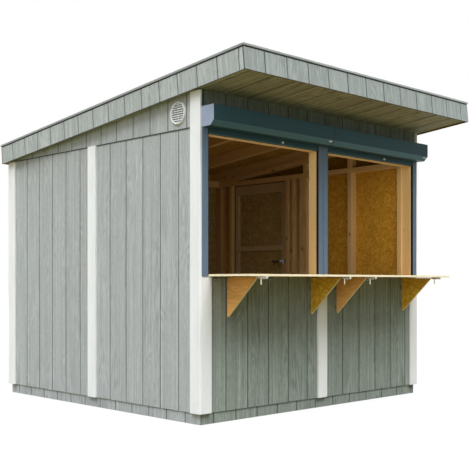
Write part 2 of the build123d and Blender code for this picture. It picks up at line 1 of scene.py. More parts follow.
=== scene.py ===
"""Looks of the market hut: a finish for every piece, its small fittings, and the studio around it."""
from math import cos, pi, radians, sin, sqrt, tan
from random import Random

import bpy
from mathutils import Matrix, Vector


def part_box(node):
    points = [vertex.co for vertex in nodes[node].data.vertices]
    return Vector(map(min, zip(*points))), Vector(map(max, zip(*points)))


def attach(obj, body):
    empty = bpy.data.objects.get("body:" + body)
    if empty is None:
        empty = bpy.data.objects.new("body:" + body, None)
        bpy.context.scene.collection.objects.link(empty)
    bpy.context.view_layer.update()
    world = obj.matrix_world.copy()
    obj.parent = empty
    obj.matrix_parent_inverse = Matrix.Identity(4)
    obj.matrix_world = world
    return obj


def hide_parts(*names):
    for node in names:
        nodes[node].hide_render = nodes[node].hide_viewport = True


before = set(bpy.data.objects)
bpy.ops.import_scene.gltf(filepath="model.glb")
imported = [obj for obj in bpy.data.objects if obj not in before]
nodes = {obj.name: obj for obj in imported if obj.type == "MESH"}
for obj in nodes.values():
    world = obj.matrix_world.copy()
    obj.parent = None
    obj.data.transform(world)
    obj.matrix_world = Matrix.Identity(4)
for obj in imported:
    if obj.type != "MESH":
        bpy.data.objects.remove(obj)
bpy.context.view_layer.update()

X_AXIS = Vector((1, 0, 0))
Y_AXIS = Vector((0, 1, 0))
Z_AXIS = Vector((0, 0, 1))

# Places read from the frame, in metres
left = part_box("left_wall_panels")[0].x
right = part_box("right_wall_panels")[1].x
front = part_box("front_wall_panels")[0].y
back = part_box("back_wall_panels")[1].y
wall_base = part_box("left_wall_panels")[0].z
wall_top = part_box("left_wall_panels")[1].z
sill_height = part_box("front_wall_panels")[1].z
counter_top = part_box("counter_flaps")[1].z
flap_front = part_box("counter_flaps")[0].y
box_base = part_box("shutter_boxes")[0].z
box_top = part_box("shutter_boxes")[1].z
box_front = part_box("shutter_boxes")[0].y
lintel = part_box("front_header_panel")[0].z
slat_low, slat_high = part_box("shutter_end_slats")
gable_low, gable_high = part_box("gable_panels")
vent_low, vent_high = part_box("gable_vents")
strap_low, strap_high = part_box("door_straps")
jamb_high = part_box("door_jamb_hinges")[1]
door_low, door_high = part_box("door_leaf")
wall_depth = back - front

# Sizes that the finishes and fittings follow, in metres
groove_pitch = 0.2032
groove_depth = 0.003
panel_thickness = 0.012
fit_gap = 0.001
trim_thickness = 0.017
trim_width = 0.105
board_cover = trim_width - trim_thickness
rail_width = 0.053
rail_depth = 0.022
handle_inset = 0.048
handle_place = door_low.y + handle_inset
# How far the painted highlight on the door lever reaches
highlight_reach = 0.0135

# The roof's frame: its origin over the front wall, Y down the slope and Z out of it
roof_pitch = radians(5.57)
soffit_thickness = 0.012
roof_top = 0.118
front_overhang = 0.5
back_overhang = 0.048
roof_side = 1.26
roof_end = (wall_depth + back_overhang) / cos(roof_pitch)
ridge_level = wall_top + (soffit_thickness + fit_gap) / cos(roof_pitch) + wall_depth * tan(roof_pitch)
roof_frame = Matrix.Translation((0, front, ridge_level)) @ Matrix.Rotation(-roof_pitch, 4, "X")
roof_down = roof_frame.to_3x3() @ Y_AXIS
roof_up = roof_frame.to_3x3() @ Z_AXIS
roof_start = roof_down.dot(roof_frame.translation)

# Where the first groove of each kind of sheet lies
side_start = front + 0.0227
gable_start = front + 0.1418
front_start = left + 0.026
side_plinth_start = front + 0.1668
front_plinth_start = left + 0.124
side_fascia_start = roof_start + (0.051 - front_overhang)
front_fascia_start = left + 0.118
plinth_inset = 0.008


def paint(red, green, blue):
    """A screen colour from 0 to 255 as the linear colour that shaders take."""
    def linear(value):
        share = value / 255
        return share / 12.92 if share <= 0.04045 else ((share + 0.055) / 1.055) ** 2.4
    return (linear(red), linear(green), linear(blue), 1.0)


# Colours as they look on a screen, and tints that a colour is multiplied by
grey_green = paint(177, 181, 180)
# Painted shade: the front wall and the end plinths take a darker copy of the side walls' grey green
front_shaded_green = paint(142, 150, 142)
# Painted shade: the header under the eaves takes a darker copy of the front wall's green
header_shaded_green = paint(115, 123, 119)
fascia_grey = paint(176, 181, 178)
# Painted shade: the end fascias take a darker copy of the side fascias' grey
front_fascia_shaded_grey = paint(151, 157, 154)
# Painted shade: the soffits take a darker, warmer copy of the panels' grey green, standing for the shade and
# warm bounce under the eaves
soffit_shaded_grey = paint(158, 157, 146)
bracket_orange = paint(243, 181, 101)
# Painted light: the right brackets take a paler copy of the left brackets' veneer orange
bracket_lit_orange = paint(250, 190, 112)
# Painted shade: the flaps and sills take a darker copy of the brackets' veneer, because their tops take more
# light
counter_shaded_orange = paint(184, 134, 77)
cut_cream = paint(246, 234, 200)
shutter_blue = paint(42, 74, 84)
# Painted light: the boxes' lower slopes take a paler blue than the rest of the box
slope_lit_blue = paint(71, 111, 132)
rail_blue = paint(98, 116, 135)
# Painted light: the caps' ends are a pale lavender copy of the box coat
cap_lit_lavender = paint(152, 163, 184)
fresh = (1.0, 1.0, 1.0, 1.0)
greyed = (0.72, 1.0, 3.4, 1.0)
# Much darker strands, on the insides of the gables and side fascias
darkened = (0.42, 0.46, 0.45, 1.0)
# Painted light: the brackets' pressed strands are brightened
lit_strands = (1.45, 1.7, 1.55, 1.0)
scuffed = (0.92, 1.08, 2.2, 1.0)
planed = (0.81, 0.79, 0.63, 1.0)
shaded = (0.62, 0.66, 0.66, 1.0)

# How wide the softened edges are
trim_edge = 0.003
timber_edge = 0.002
ply_edge = 0.0015
sheet_edge = 0.001
box_edge = 0.0022
metal_edge = 0.0008

# The span that most values of a noise lie in
noise_low = 0.3
noise_high = 0.7


def put(tree, socket, value):
    """Link a node's output to a socket, or set the socket to a plain value."""
    if isinstance(value, bpy.types.NodeSocket):
        tree.links.new(value, socket)
    else:
        socket.default_value = value


def new_node(tree, kind, *values, **named):
    """A shader node whose sockets are linked or set to values, the first ones in order, others by name."""
    node = tree.nodes.new("ShaderNode" + kind)
    for socket, value in zip(node.inputs, values):
        put(tree, socket, value)
    for name, value in named.items():
        put(tree, node.inputs[name], value)
    return node


def ramp(tree, factor, *stops):
    """Colours at places from 0 to 1, mixed between them."""
    node = new_node(tree, "ValToRGB", factor)
    elements = node.color_ramp.elements
    while len(elements) < len(stops):
        elements.new(1.0)
    for element, (place, colour) in zip(elements, stops):
        element.position = place
        element.color = colour
    return node.outputs[0]


class Finish:
    """A material in the making: adds nodes, links them and feeds one shader."""

    def __init__(self, name, roughness, specular, metallic=0.0):
        self.material = bpy.data.materials.new(name)
        self.material.use_nodes = True
        self.tree = self.material.node_tree
        self.shader = self.tree.nodes["Principled BSDF"]
        self.feed("Roughness", roughness)
        self.feed("Specular IOR Level", specular)
        self.feed("Metallic", metallic)
        coordinates = self.node("TexCoord")
        self.place = coordinates.outputs["Object"]
        self.facing = coordinates.outputs["Normal"]

    def feed(self, name, value):
        put(self.tree, self.shader.inputs[name], value)

    def node(self, kind, *values, **named):
        return new_node(self.tree, kind, *values, **named)

    def math(self, operation, first, second=0.0):
        node = self.node("Math", first, second)
        node.operation = operation
        return node.outputs[0]

    def plus(self, first, second):
        return self.math("ADD", first, second)

    def minus(self, first, second):
        return self.math("SUBTRACT", first, second)

    def times(self, first, second):
        return self.math("MULTIPLY", first, second)

    def weighed(self, *pairs):
        """The sum of values, each times its weight."""
        total, *others = [self.times(value, weight) for value, weight in pairs]
        for part in others:
            total = self.plus(total, part)
        return total

    def vector_math(self, operation, *vectors):
        node = self.node("VectorMath", *vectors)
        node.operation = operation
        return node.outputs["Value"]

    def dot(self, vector, direction):
        return self.vector_math("DOT_PRODUCT", vector, tuple(direction))

    def reach(self, direction):
        """How far along a direction a point lies."""
        return self.dot(self.place, direction)

    def turn_to(self, direction):
        """How much a face looks along a direction, from -1 to 1."""
        return self.dot(self.facing, direction)

    def combine(self, x, y, z=0.0):
        return self.node("CombineXYZ", x, y, z).outputs[0]

    def scaled(self, vector, scale, turn=0.0):
        """The vector times one scale, or one for each axis, and turned about Z."""
        scales = scale if isinstance(scale, tuple) else (scale,) * 3
        return self.node("Mapping", vector, Scale=scales, Rotation=(0, 0, turn)).outputs[0]

    def noise(self, vector, scale, detail=4.0, roughness=0.55, distortion=0.0):
        node = self.node("TexNoise", self.scaled(vector, scale), Scale=1.0, Detail=detail,
                         Roughness=roughness, Distortion=distortion)
        return node.outputs[0]

    def hashed(self, value):
        """A number from 0 to 1 that is the same wherever the value is the same."""
        node = self.node("TexWhiteNoise")
        node.noise_dimensions = "1D"
        put(self.tree, node.inputs["W"], value)
        return node.outputs["Value"]

    def cells(self, vector, scale):
        """A number from 0 to 1 for the cell that a point lies in, and how far off the cell's middle is."""
        node = self.node("TexVoronoi", self.scaled(vector, scale), Scale=1.0)
        return self.dot(node.outputs["Color"], X_AXIS), node.outputs["Distance"]

    def span(self, value, low, high, to_low=0.0, to_high=1.0):
        """The value from low to high carried over to another span, held at its ends."""
        return self.node("MapRange", value, low, high, to_low, to_high).outputs[0]

    def spread(self, noise, to_low, to_high):
        """A noise carried over to another span."""
        return self.span(noise, noise_low, noise_high, to_low, to_high)

    def mix(self, factor, first, second, blend="MIX"):
        node = self.node("Mix")
        node.data_type = "RGBA"
        node.blend_type = blend
        for number, value in ((0, factor), (6, first), (7, second)):
            put(self.tree, node.inputs[number], value)
        return node.outputs[2]

    def tinted(self, colour, tint):
        return self.mix(1.0, colour, tint, "MULTIPLY")

    def shade(self, colour, factor):
        """The colour times a grey factor."""
        return self.tinted(colour, self.combine(factor, factor, factor))

    def bump(self, height, strength, distance, under=None):
        node = self.node("Bump", Strength=strength, Distance=distance, Height=height)
        if under is not None:
            put(self.tree, node.inputs["Normal"], under)
        return node.outputs[0]

    def done(self, colour, normal, roughness=None):
        self.feed("Base Color", colour)
        self.feed("Normal", normal)
        if roughness is not None:
            self.feed("Roughness", roughness)
        return self.material


# Finishes

def strands(finish, u, w, tint):
    """Colour and height of pressed wood strands on a board face with the places u and w."""
    flat = finish.combine(u, w)
    drift = finish.noise(flat, 6, 2)
    layers = []
    for number, (turn, size) in enumerate(((0.35, (72, 25, 1)), (-0.5, (80, 22, 1)), (1.35, (68, 27, 1)))):
        shifted = finish.combine(finish.plus(u, number * 3.7 + 0.4), w)
        turned = finish.scaled(shifted, 1, turn)
        bent = finish.combine(finish.plus(finish.dot(turned, X_AXIS), finish.times(drift, 0.03)),
                              finish.dot(turned, Y_AXIS))
        layers.append(finish.cells(bent, size))
    chooser, first, second = layers
    pick = finish.math("GREATER_THAN", chooser[0], 0.52)
    rest = finish.minus(1.0, pick)
    tone = finish.weighed((first[0], pick), (second[0], rest))
    edge = finish.weighed((first[1], pick), (second[1], rest))
    fibre = finish.noise(flat, (420, 90, 1), 3)
    mixed = finish.weighed((tone, 0.75), (fibre, 0.3))
    colour = ramp(finish.tree, mixed, (0.08, paint(168, 115, 30)), (0.34, paint(186, 132, 38)),
                  (0.58, paint(195, 141, 44)), (0.8, paint(203, 151, 54)), (0.97, paint(214, 166, 70)))
    colour = finish.shade(colour, finish.span(edge, 0.4, 0.9, 1.0, 0.88))
    return finish.tinted(colour, tint), finish.minus(mixed, edge)


def siding(name, across, along, outward, face, start, colour, contrast, inside, middle):
    """Embossed, painted siding sheet with painted shade in its grooves, and pressed strands on its back if a
    tint is given.
    Where boards stand on both sides of the hut, depth is counted from the middle between them."""
    finish = Finish(name, roughness=0.65, specular=0.07)
    u = finish.reach(across)
    w = finish.reach(along)
    board = finish.math("FLOOR", finish.math("DIVIDE", finish.minus(u, start), groove_pitch))
    chance = finish.hashed(finish.plus(board, 41.5))
    flat = finish.combine(u, finish.plus(w, finish.times(chance, 9.0)), finish.times(chance, 4.0))
    streak = finish.noise(flat, (62, 0.7, 1), 5, 0.65, 0.3)
    fine = finish.noise(flat, (330, 7, 1), 3, 0.6)
    figure = finish.noise(flat, (9, 1.3, 1), 2, 0.5, 0.6)
    rings = finish.math("SINE", finish.times(figure, 60.0))
    strength = finish.span(finish.noise(flat, (7, 2.0, 1), 2), 0.4, 0.6)
    mottle = finish.noise(flat, (62, 27, 1), 3, 0.6, 0.8)
    rings = finish.times(rings, strength)
    grain = finish.weighed((streak, 0.58), (fine, 0.16), (rings, 0.07), (mottle, 0.26))
    tone = finish.span(grain, 0.32, 0.68, 1.0 - 0.22 * contrast, 1.0 + 0.18 * contrast)
    tone = finish.times(tone, finish.span(chance, 0.0, 1.0, 0.96, 1.035))
    depth = finish.reach(outward)
    turn = finish.turn_to(outward)
    if middle is not None:
        depth = finish.minus(depth, middle)
        turn = finish.times(turn, finish.math("SIGN", depth))
        depth = finish.math("ABSOLUTE", depth)
    # Painted shade: the paint in the grooves is darkened, standing for the shadow in them
    groove_shade = finish.math("LESS_THAN", depth, face - groove_depth * 0.3)
    painted = finish.shade(colour, tone)
    painted = finish.shade(painted, finish.span(groove_shade, 0.0, 1.0, 1.0, 0.36))
    normal = finish.bump(grain, 0.7, 0.0018)
    if inside is None:
        return finish.done(painted, normal)
    pressed, height = strands(finish, u, w, inside)
    colour = finish.mix(finish.math("LESS_THAN", turn, -0.5), painted, pressed)
    return finish.done(colour, finish.bump(height, 0.15, 0.001, normal))


def pine(name, along, side, up, tint=planed):
    """Planed softwood boards that run one way, with growth rings, knots and a tone for each board."""
    finish = Finish(name, roughness=0.55, specular=0.45)
    s = finish.reach(along)
    r = finish.reach(side)
    t = finish.reach(up)
    cell = finish.plus(finish.math("FLOOR", finish.times(r, 5.0)),
                       finish.times(finish.math("FLOOR", finish.times(t, 4.0)), 7.3))
    chance = finish.hashed(finish.plus(cell, 17.25))
    grid = finish.combine(finish.plus(s, finish.times(chance, 6.0)), r, t)
    bow = finish.times(finish.noise(grid, (1.3, 9, 9), 3), 0.035)
    aside = finish.plus(finish.plus(r, bow), finish.times(chance, 0.09))
    heart = finish.combine(aside, finish.plus(t, 0.031))
    rings = finish.math("SINE", finish.times(finish.vector_math("LENGTH", heart), 820.0))
    fibre = finish.noise(grid, (7, 260, 260), 3)
    tone = finish.plus(finish.span(rings, -1.0, 1.0, 0.32, 0.62), finish.times(fibre, 0.28))
    tone = finish.plus(tone, finish.span(chance, 0.0, 1.0, -0.1, 0.12))
    colour = ramp(finish.tree, tone, (0.2, paint(192, 142, 86)), (0.5, paint(222, 180, 124)),
                  (0.85, paint(238, 206, 156)))
    knot, away = finish.cells(grid, (7, 14, 14))
    dark = finish.times(finish.span(away, 0.07, 0.2, 0.75, 0.0), finish.math("GREATER_THAN", knot, 0.7))
    colour = finish.mix(dark, colour, paint(112, 66, 34))
    return finish.done(finish.tinted(colour, tint), finish.bump(tone, 0.2, 0.0006))


def white_boards(name, across, corner, middle):
    """White painted timber with the grain just showing through. The boards at the corners and in the middle
    of a wall are made lighter or darker, as painted light and shade for how much light falls on them."""
    finish = Finish(name, roughness=0.5, specular=0.25)
    u = finish.reach(across)
    flat = finish.combine(u, finish.reach(Z_AXIS))
    grain = finish.noise(flat, (150, 3, 1), 5, 0.6, 0.2)
    cloud = finish.noise(flat, (7, 2.5, 1), 3)
    speck = finish.noise(flat, (38, 30, 1), 2)
    tone = finish.weighed((grain, 0.35), (cloud, 0.65))
    colour = ramp(finish.tree, tone, (0.25, paint(222, 223, 221)), (0.55, paint(234, 235, 234)),
                  (0.8, paint(240, 240, 239)))
    colour = finish.mix(finish.span(speck, 0.68, 0.8, 0.0, 0.35), colour, paint(196, 196, 190))
    # Painted light and shade: a brightness factor for boards near the middle of a wall and another for its
    # corners
    colour = finish.shade(colour, finish.span(finish.math("ABSOLUTE", u), 0.3, 1.0, middle, corner))
    return finish.done(colour, finish.bump(grain, 0.3, 0.0008), finish.spread(cloud, 0.45, 0.6))


def orange_peel(finish):
    """The fine unevenness of baked powder."""
    return finish.bump(finish.noise(finish.place, 900, 2), 0.12, 0.0003)


def powder_coat(name, colour, along, roughness, specular, metallic=0.0, slope_light_colour=None):
    """Coated sheet metal: fine orange peel, faint draw lines and a little uneven gloss.
    Faces that slope down can have a paler colour, painted light that stands for light from below."""
    finish = Finish(name, roughness, specular, metallic)
    cloud = finish.noise(finish.place, 5)
    across = Vector((1, 1, 1)) - along
    lines = finish.noise(finish.place, tuple(across * 260 + along * 2), 2)
    tone = finish.plus(finish.spread(cloud, 0.93, 1.06), finish.spread(lines, -0.05, 0.05))
    if slope_light_colour is not None:
        # Painted light: faces that slope down take the paler colour
        lit_slope = finish.math("ABSOLUTE", finish.plus(finish.turn_to(Z_AXIS), 0.7))
        colour = finish.mix(finish.math("LESS_THAN", lit_slope, 0.2), colour, slope_light_colour)
    return finish.done(finish.shade(colour, tone), orange_peel(finish),
                       finish.spread(cloud, roughness - 0.06, roughness + 0.08))


def end_cover(name, colour, edge_colour):
    """Coated end cover of a shutter box, whose ends take a paler colour as painted light, and whose rim is as
    dark as the box.
    """
    finish = Finish(name, roughness=0.45, specular=0.35)
    cloud = finish.noise(finish.place, 9)
    turn = finish.math("ABSOLUTE", finish.turn_to(X_AXIS))
    cover = finish.mix(finish.math("GREATER_THAN", turn, 0.7), edge_colour, colour)
    return finish.done(finish.shade(cover, finish.spread(cloud, 0.95, 1.04)), orange_peel(finish))


def galvanised(name, colour, roughness):
    """Plated steel with the crystal pattern of zinc."""
    finish = Finish(name, roughness, specular=0.5, metallic=0.85)
    grey = finish.cells(finish.place, 160)[0]
    scratch = finish.noise(finish.place, (700, 90, 300), 3)
    tone = finish.plus(finish.span(grey, 0.0, 1.0, 0.86, 1.08), finish.spread(scratch, -0.08, 0.06))
    return finish.done(finish.shade(colour, tone), finish.bump(scratch, 0.15, 0.0002),
                       finish.span(grey, 0.0, 1.0, roughness - 0.1, roughness + 0.12))


def lever_metal(name, colour, highlight_colour):
    """Dark door lever with a painted highlight, a bright patch about its spindle."""
    finish = Finish(name, roughness=0.35, specular=0.5, metallic=0.3)
    away = finish.math("ABSOLUTE", finish.minus(finish.reach(Y_AXIS), handle_place))
    cloud = finish.noise(finish.place, 60, 3)
    # Painted highlight: a bright patch about the spindle
    colour = finish.mix(finish.math("LESS_THAN", away, highlight_reach), colour, highlight_colour)
    colour = finish.shade(colour, finish.spread(cloud, 0.94, 1.04))
    return finish.done(colour, finish.bump(cloud, 0.05, 0.0003))


def faced_board(name, outward, across, along, face_colour, tint):
    """Board with one face of smooth veneer, one face of pressed strands and pale cut edges."""
    finish = Finish(name, roughness=0.55, specular=0.25)
    u = finish.reach(across)
    w = finish.reach(along)
    flat = finish.combine(u, w)
    turn = finish.turn_to(outward)
    pressed, height = strands(finish, u, w, tint)
    cloud = finish.noise(finish.place, 4)
    fibre = finish.noise(flat, (11, 210, 1), 3)
    figure = finish.noise(flat, (1.3, 9, 1), 3, 0.5, 0.7)
    rings = finish.math("SINE", finish.times(figure, 80.0))
    tone = finish.plus(finish.spread(cloud, 0.92, 1.06), finish.spread(fibre, -0.1, 0.08))
    smooth = finish.shade(face_colour, finish.plus(tone, finish.span(rings, -1.0, 1.0, -0.1, 0.06)))
    layer = finish.noise(finish.place, 140, 2)
    edge = finish.shade(cut_cream, finish.spread(layer, 0.88, 1.05))
    colour = finish.mix(finish.math("GREATER_THAN", turn, 0.5), edge, smooth)
    colour = finish.mix(finish.math("LESS_THAN", turn, -0.5), colour, pressed)
    return finish.done(colour, finish.bump(height, 0.12, 0.001))


def felt(name):
    """Mineral felt with dark granules and faint weathering."""
    finish = Finish(name, roughness=0.92, specular=0.1)
    grit, away = finish.cells(finish.place, 420)
    cloud = finish.noise(finish.place, (2.2, 1.1, 2.2), 5)
    tone = finish.plus(finish.span(grit, 0.0, 1.0, 0.7, 1.25), finish.spread(cloud, -0.14, 0.14))
    return finish.done(finish.shade(paint(92, 95, 97), tone), finish.bump(away, 0.4, 0.0015))


def floor_boards(name):
    """Sheet floor of pressed strands, scuffed in patches."""
    finish = Finish(name, roughness=0.6, specular=0.25)
    pressed, height = strands(finish, finish.reach(X_AXIS), finish.reach(Y_AXIS), scuffed)
    scuff = finish.noise(finish.place, 3, 5)
    colour = finish.shade(pressed, finish.spread(scuff, 0.75, 1.0))
    return finish.done(colour, finish.bump(height, 0.15, 0.001))


def plastic(name, colour, roughness=0.4):
    """Moulded plastic with a fine texture and a slightly uneven tone."""
    finish = Finish(name, roughness, specular=0.4)
    cloud = finish.noise(finish.place, 20, 3)
    texture = finish.noise(finish.place, 800, 2)
    colour = finish.shade(colour, finish.spread(cloud, 0.95, 1.03))
    return finish.done(colour, finish.bump(texture, 0.1, 0.0002))


def soften(obj, width):
    """Take the sharpness off the edges, as sanding or rolling does."""
    weld = obj.modifiers.new("weld", "WELD")
    weld.merge_threshold = 0.00002
    edge = obj.modifiers.new("edge", "BEVEL")
    edge.width = width
    edge.segments = 2
    edge.limit_method = "ANGLE"
    edge.angle_limit = radians(40)
    edge.harden_normals = True


def wear(material, *names, edge=0.0):
    """Give CAD nodes one finish, and soften the edges that the frame leaves sharp."""
    for name in names:
        slots = nodes[name].data.materials
        slots.clear()
        slots.append(material)
        if edge:
            soften(nodes[name], edge)


# Finishes of the CAD nodes that show. Siding has its ways across, along and out of its face
to_left = (Y_AXIS, Z_AXIS, -X_AXIS)
to_right = (Y_AXIS, Z_AXIS, X_AXIS)
to_front = (X_AXIS, Z_AXIS, -Y_AXIS)
to_back = (X_AXIS, Z_AXIS, Y_AXIS)
down_slope = (roof_down, roof_up, X_AXIS)
end_slope = (X_AXIS, roof_up, roof_down)
under_slope = (X_AXIS, roof_down, -roof_up)
roof_middle = roof_start + (roof_end - front_overhang) / 2
roof_half = (roof_end + front_overhang) / 2
soffit_face = soffit_thickness - roof_up.dot(roof_frame.translation)
for node, ways, face, start, colour, contrast, inside, middle in (
        ("left_wall_panels", to_left, -left, side_start, grey_green, 1.3, fresh, None),
        ("right_wall_panels", to_right, right, side_start, grey_green, 1.3, fresh, None),
        ("door_leaf", to_right, right, side_start, grey_green, 1.3, greyed, None),
        ("front_wall_panels", to_front, -front, front_start, front_shaded_green, 1.75, fresh, None),
        ("front_header_panel", to_front, -front, front_start, header_shaded_green, 2.0, fresh, None),
        ("back_wall_panels", to_back, back, front_start, grey_green, 1.3, greyed, None),
        ("gable_panels", to_right, right, gable_start, grey_green, 1.3, darkened, 0.0),
        ("side_plinths", to_right, right - plinth_inset, side_plinth_start, grey_green, 1.5, None, 0.0),
        ("end_plinths", to_back, back - plinth_inset, front_plinth_start, front_shaded_green, 1.5, None, 0.0),
        ("side_fascias", down_slope, roof_side, side_fascia_start, fascia_grey, 1.7, darkened, 0.0),
        ("end_fascias", end_slope, roof_half, front_fascia_start, front_fascia_shaded_grey, 1.4, fresh, roof_middle),
        ("soffits", under_slope, soffit_face, front_start, soffit_shaded_grey, 2.6, None, None)):
    board = siding(f"{node}_paint", *ways, face, start, colour, contrast, inside, middle)
    wear(board, node, edge=sheet_edge)

wear(pine("pine_up", Z_AXIS, X_AXIS, Y_AXIS), "side_wall_studs", "front_wall_posts", "back_wall_studs",
     "upper_studs", "front_post_strips", edge=timber_edge)
wear(pine("pine_door", Z_AXIS, X_AXIS, Y_AXIS, shaded), "door_ledges", edge=timber_edge)
pine_across = pine("pine_across", X_AXIS, Y_AXIS, Z_AXIS)
pine_deep = pine("pine_deep", Y_AXIS, X_AXIS, Z_AXIS)
pine_slope = pine("pine_slope", roof_down, X_AXIS, roof_up)
wear(pine_across, "front_wall_plates", edge=timber_edge)
wear(pine_across, "back_wall_plates", "header_plate")
wear(pine_deep, "side_wall_plates", edge=timber_edge)
wear(pine_deep, "floor_bearers")
wear(pine_slope, "rafters", edge=timber_edge)
wear(pine_slope, "gable_chords")

# Painted light: the side boards are made brighter
white_sides = white_boards("white_sides", Y_AXIS, 1.06, 1.07)
wear(white_sides, "left_trims", "right_trims", edge=trim_edge)
# Painted shade on the end corner boards and painted light on their middle battens
wear(white_boards("white_ends", X_AXIS, 0.95, 1.08), "end_trims", edge=trim_edge)
wear(floor_boards("floor_strands"), "floor_deck", "roof_deck")
mineral_felt = felt("mineral_felt")
wear(mineral_felt, "roof_membrane")

shutter_coat = powder_coat("shutter_coat", shutter_blue, X_AXIS, 0.42, 0.15, slope_light_colour=slope_lit_blue)
rail_coat = powder_coat("rail_coat", rail_blue, Z_AXIS, 0.45, 0.2)
edge_metal = powder_coat("edge_metal", paint(146, 150, 149), X_AXIS, 0.4, 0.2)
bronze = powder_coat("bronze", paint(112, 117, 106), X_AXIS, 0.55, 0.15, metallic=0.2)
vent_white = plastic("vent_white", paint(232, 234, 233))
zinc = galvanised("zinc", paint(216, 210, 192), 0.38)
door_zinc = galvanised("door_zinc", paint(192, 194, 194), 0.45)
wear(shutter_coat, "shutter_boxes", edge=box_edge)
wear(end_cover("cap_coat", cap_lit_lavender, shutter_blue), "shutter_end_caps", edge=metal_edge)
wear(zinc, "counter_bolts", edge=metal_edge)
wear(door_zinc, "door_jamb_hinges", "door_straps")
wear(bronze, "counter_hinges", edge=metal_edge)
wear(lever_metal("handle_metal", paint(64, 64, 64), paint(236, 236, 232)), "door_handles", edge=metal_edge)

for name, outward, colour in (
        ("left_outer", -X_AXIS, bracket_orange), ("left_inner", X_AXIS, bracket_orange),
        ("right_inner", -X_AXIS, bracket_lit_orange), ("right_outer", X_AXIS, bracket_lit_orange)):
    board = faced_board(f"{name}_board", outward, Y_AXIS, Z_AXIS, colour, lit_strands)
    wear(board, f"{name}_bracket", edge=ply_edge)
    wear(bronze, f"{name}_leaf")
counter_board = faced_board("counter_board", Z_AXIS, X_AXIS, Y_AXIS, counter_shaded_orange, fresh)
wear(counter_board, "counter_flaps", "sill_boards", edge=ply_edge)


# Fittings: small pieces that the frame leaves out

def new_object(name, data):
    """An object in the scene."""
    obj = bpy.data.objects.new(name, data)
    bpy.context.scene.collection.objects.link(obj)
    return obj


class Shape:
    """Mesh in the making: collects prisms, turned parts and rings, and ends as one piece."""

    def __init__(self):
        self.points = []
        self.faces = []

    def add(self, points, faces, place=Matrix.Identity(4)):
        start = len(self.points)
        self.points += [place @ Vector(point) for point in points]
        self.faces += [tuple(start + index for index in face) for face in faces]

    def prism(self, outline, length, place=Matrix.Identity(4)):
        """An outline in the local XY plane, drawn out along local Z."""
        count = len(outline)
        points = [(x, y, 0) for x, y in outline] + [(x, y, length) for x, y in outline]
        faces = [(i, (i + 1) % count, count + (i + 1) % count, count + i) for i in range(count)]
        faces += [tuple(reversed(range(count))), tuple(range(count, count * 2))]
        self.add(points, faces, place)

    def slab(self, low, high, place=Matrix.Identity(4)):
        """A square-edged block between two corners."""
        outline = ((low[0], low[1]), (high[0], low[1]), (high[0], high[1]), (low[0], high[1]))
        self.prism(outline, high[2] - low[2], place @ Matrix.Translation((0, 0, low[2])))

    def turned(self, profile, place, sides=16, hollow=False):
        """A profile of (radius, height) turned about local Z, from its lowest point to its highest.
        It is closed by flat ends or, where it is hollow, back to its first point."""
        points = []
        rings = []
        for radius, height in profile:
            ring = [0] if radius == 0 else range(sides)
            rings.append([len(points) + number for number in ring])
            turns = [2 * pi * number / sides for number in ring]
            points += [(radius * cos(turn), radius * sin(turn), height) for turn in turns]
        faces = [] if hollow else [tuple(reversed(rings[0])), tuple(rings[-1])]
        faces = [face for face in faces if len(face) > 1]
        for low, high in zip(rings, rings[1:] + rings[:1] * hollow):
            for i in range(sides):
                corners = (low[i % len(low)], low[(i + 1) % len(low)],
                           high[(i + 1) % len(high)], high[i % len(high)])
                faces.append(tuple(dict.fromkeys(corners)))
        self.add(points, faces, place)

    def piece(self, name, material, slot, body="hut", bevel=0.0, smooth=False):
        """End as an object that rides on a body."""
        mesh = bpy.data.meshes.new(name)
        mesh.from_pydata(self.points, [], self.faces, shade_flat=not smooth)
        mesh.materials.append(material)
        obj = new_object(name, mesh)
        if bevel:
            soften(obj, bevel)
        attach(obj, body)
        return obj


def placed(origin, out, along=Z_AXIS):
    """Frame at origin whose Z points out and whose Y lies along a direction."""
    y = (along - out * along.dot(out)).normalized()
    return Matrix.Translation(origin) @ Matrix((y.cross(out), y, out)).transposed().to_4x4()


def handed(section, start, toward):
    """A section of (x, y) points set off from start to the right (1) or to the left (-1)."""
    outline = [(start + toward * x, y) for x, y in section]
    return outline if toward > 0 else outline[::-1]


# Turns for outlines: (x, y) to (y, z), drawn along X, and (x, y) to (x, z), drawn towards the front
along_x = Matrix(((0, 0, 1), (1, 0, 0), (0, 1, 0))).to_4x4()
upright = Matrix.Rotation(pi / 2, 4, "X")

# The corners of a rectangle, going round it
corner_signs = ((-1, -1), (1, -1), (1, 1), (-1, 1))

# Guide rails with fluted fronts, and the brush that seals each slot
rail_slot = 0.011
slot_depth = 0.024
slot_low = (rail_depth - rail_slot) / 2
flute = 0.0015
flute_shares = (0.28, 0.72)
rail_edge = 0.003
rail_seam = 0.0015
mid_gap = 0.0005
rails = ((left, 1), (-mid_gap, -1), (mid_gap, 1), (right, -1))
rail_section = [(rail_seam, 0), (rail_seam, rail_depth - rail_edge), (rail_seam + rail_edge, rail_depth)]
for share in flute_shares:
    middle = rail_width * share
    rail_section += [(middle - flute, rail_depth), (middle, rail_depth - flute), (middle + flute, rail_depth)]
rail_section += [(rail_width - rail_edge, rail_depth), (rail_width, rail_depth - rail_edge),
                 (rail_width, rail_depth - slot_low), (rail_width - slot_depth, rail_depth - slot_low),
                 (rail_width - slot_depth, slot_low), (rail_width, slot_low), (rail_width, 0)]
rail_section = [(x, front - y) for x, y in rail_section]
rail_shape = Shape()
for x_start, toward in rails:
    rail_shape.prism(handed(rail_section, x_start, toward), box_base - sill_height,
                     Matrix.Translation((0, 0, sill_height)))
rail_piece = rail_shape.piece("guide_rail_profiles", rail_coat, "rail", bevel=0.0004)
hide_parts("guide_rails")

